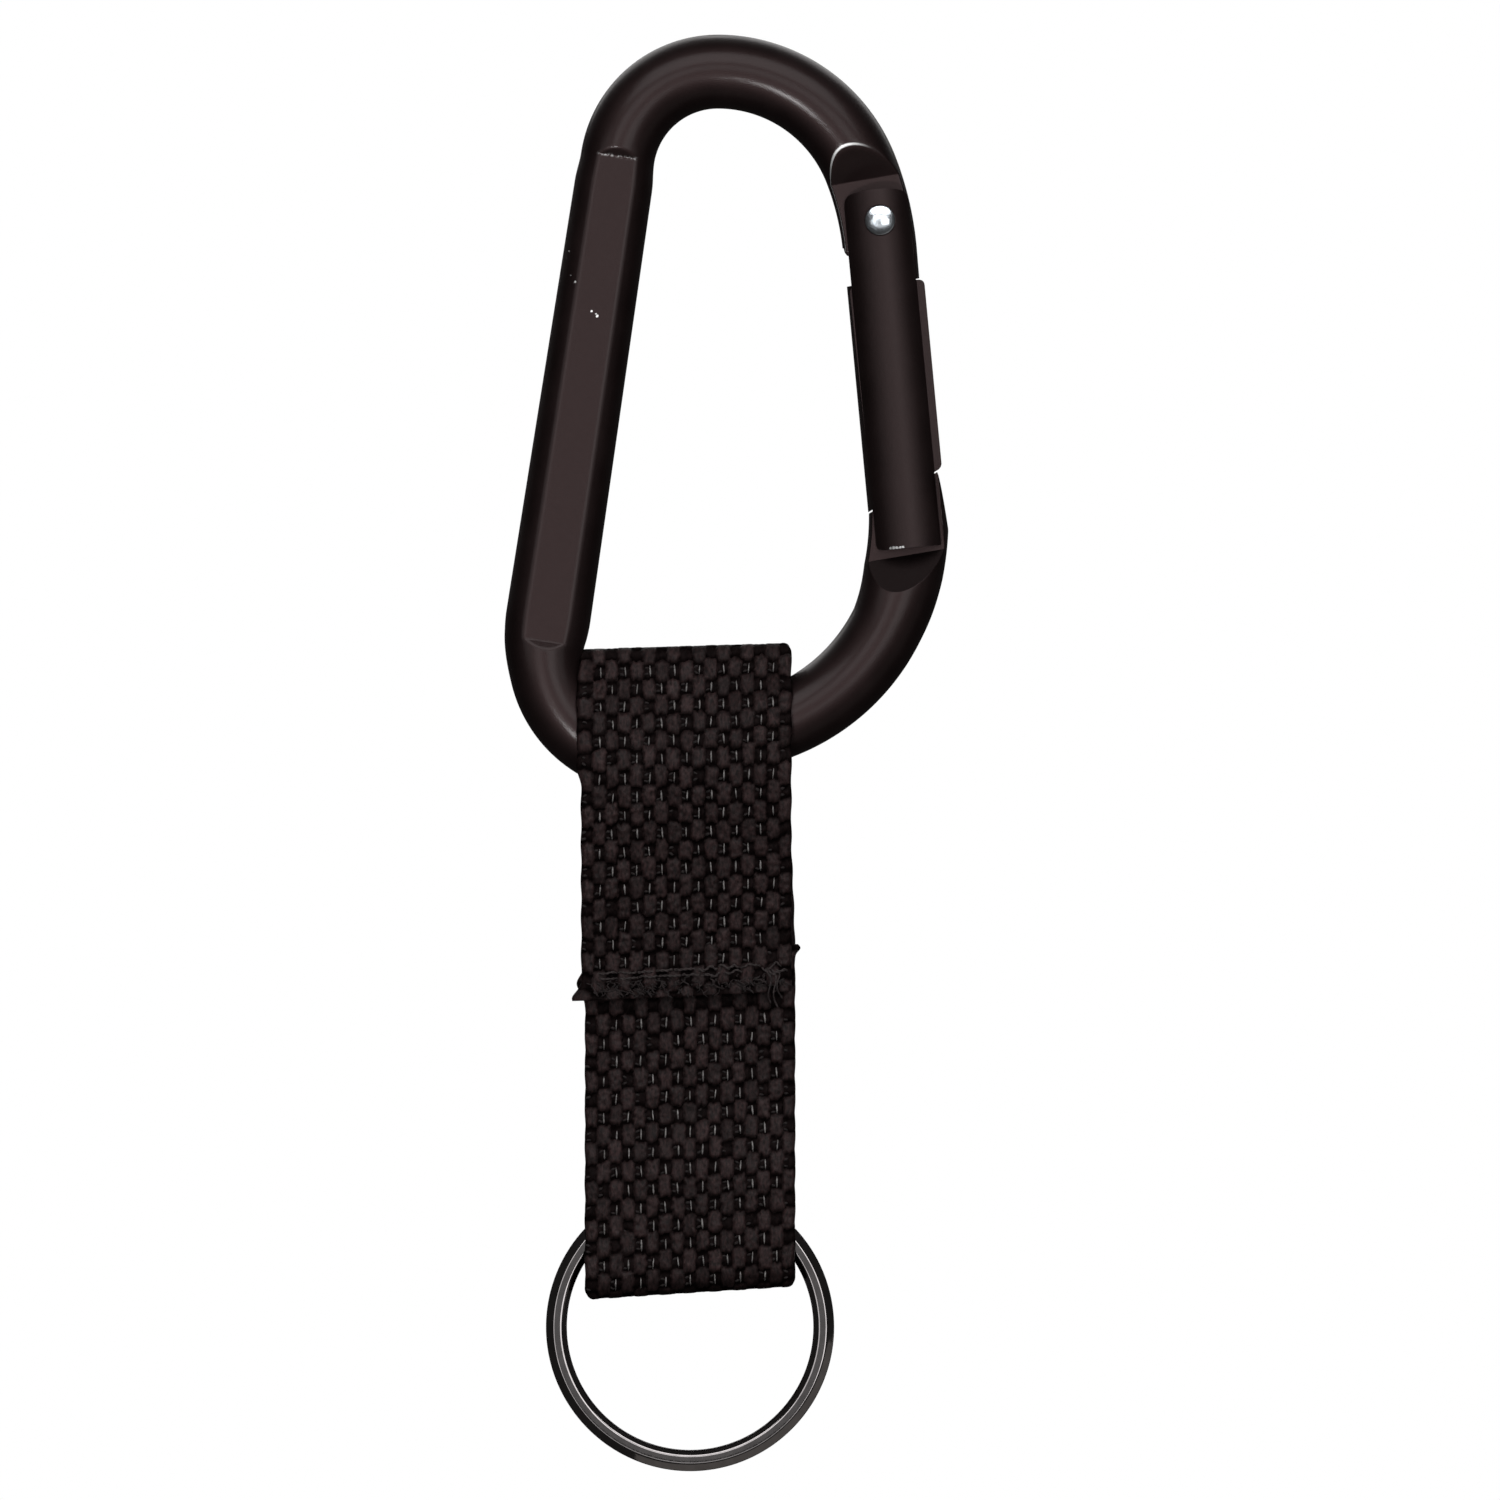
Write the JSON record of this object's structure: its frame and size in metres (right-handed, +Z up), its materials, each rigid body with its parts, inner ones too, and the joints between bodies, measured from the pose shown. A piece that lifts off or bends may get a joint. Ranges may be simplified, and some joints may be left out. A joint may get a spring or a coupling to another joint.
{
  "type": "carabiner keyring",
  "caption": "Black spring-gate carabiner with a sewn loop of woven webbing on its foot that carries a split key ring.",
  "frame": {"origin": "top of the carabiner's opening, on the inner surface of the bow, where a belt loop or hook holds the keyring up", "axes": "+Z up along the hanging keyring, +X from the spine towards the gate, -Y out of the front"},
  "size_m": [0.048, 0.0116, 0.1553],
  "materials": {
    "body_black": "satin black anodising",
    "gate_black": "satin black anodising",
    "rivet_steel": "polished dome",
    "plunger_steel": "ground",
    "spring_steel": "drawn wire",
    "webbing_black": "woven polypropylene",
    "thread_black": "polyester sewing thread",
    "ring_black_nickel": "polished black nickel"
  },
  "bodies": {
    "carabiner": {"carabiner_body": "body_black", "hinge_rivet": "rivet_steel", "webbing_top_loop": "webbing_black"},
    "gate": {"gate": "gate_black", "gate_spring": "spring_steel"},
    "plunger": {"gate_plunger": "plunger_steel"},
    "strap_upper": {"webbing_upper": "webbing_black", "needle_thread": "thread_black", "bobbin_thread": "thread_black"},
    "strap_lower": {"webbing_lower": "webbing_black"},
    "ring": {"split_ring": "ring_black_nickel"}
  },
  "joints": [
    {"name": "gate_hinge", "type": "hinge", "parent": "carabiner", "child": "gate", "pos_m": [0.0175, 0, -0.0122], "axis": [0, 1, 0], "range_deg": [0, 32], "stiffness_Nm_per_rad": 0.12, "springref_deg": -20.05},
    {"name": "plunger_slide", "type": "slide", "parent": "gate", "child": "plunger", "axis": [0.0941, 0, -0.9956], "range_m": [0, 0.0016], "deforming": ["gate_spring"]},
    {"name": "strap_swing", "type": "hinge", "parent": "carabiner", "child": "strap_upper", "pos_m": [-0.0034, 0, -0.0685], "axis": [1, 0, 0], "range_deg": [-70, 70]},
    {"name": "strap_flex", "type": "hinge", "parent": "strap_upper", "child": "strap_lower", "pos_m": [-0.003, 0, -0.0995], "axis": [1, 0, 0], "range_deg": [-60, 60]},
    {"name": "ring_spin", "type": "hinge", "parent": "strap_lower", "child": "ring", "pos_m": [-0.003, 0, -0.1317], "axis": [0, 1, 0], "continuous": true}
  ],
  "couplings": [
    {"joint": "plunger_slide", "follows": "gate_hinge", "m_per_rad": 0.0026857}
  ]
}
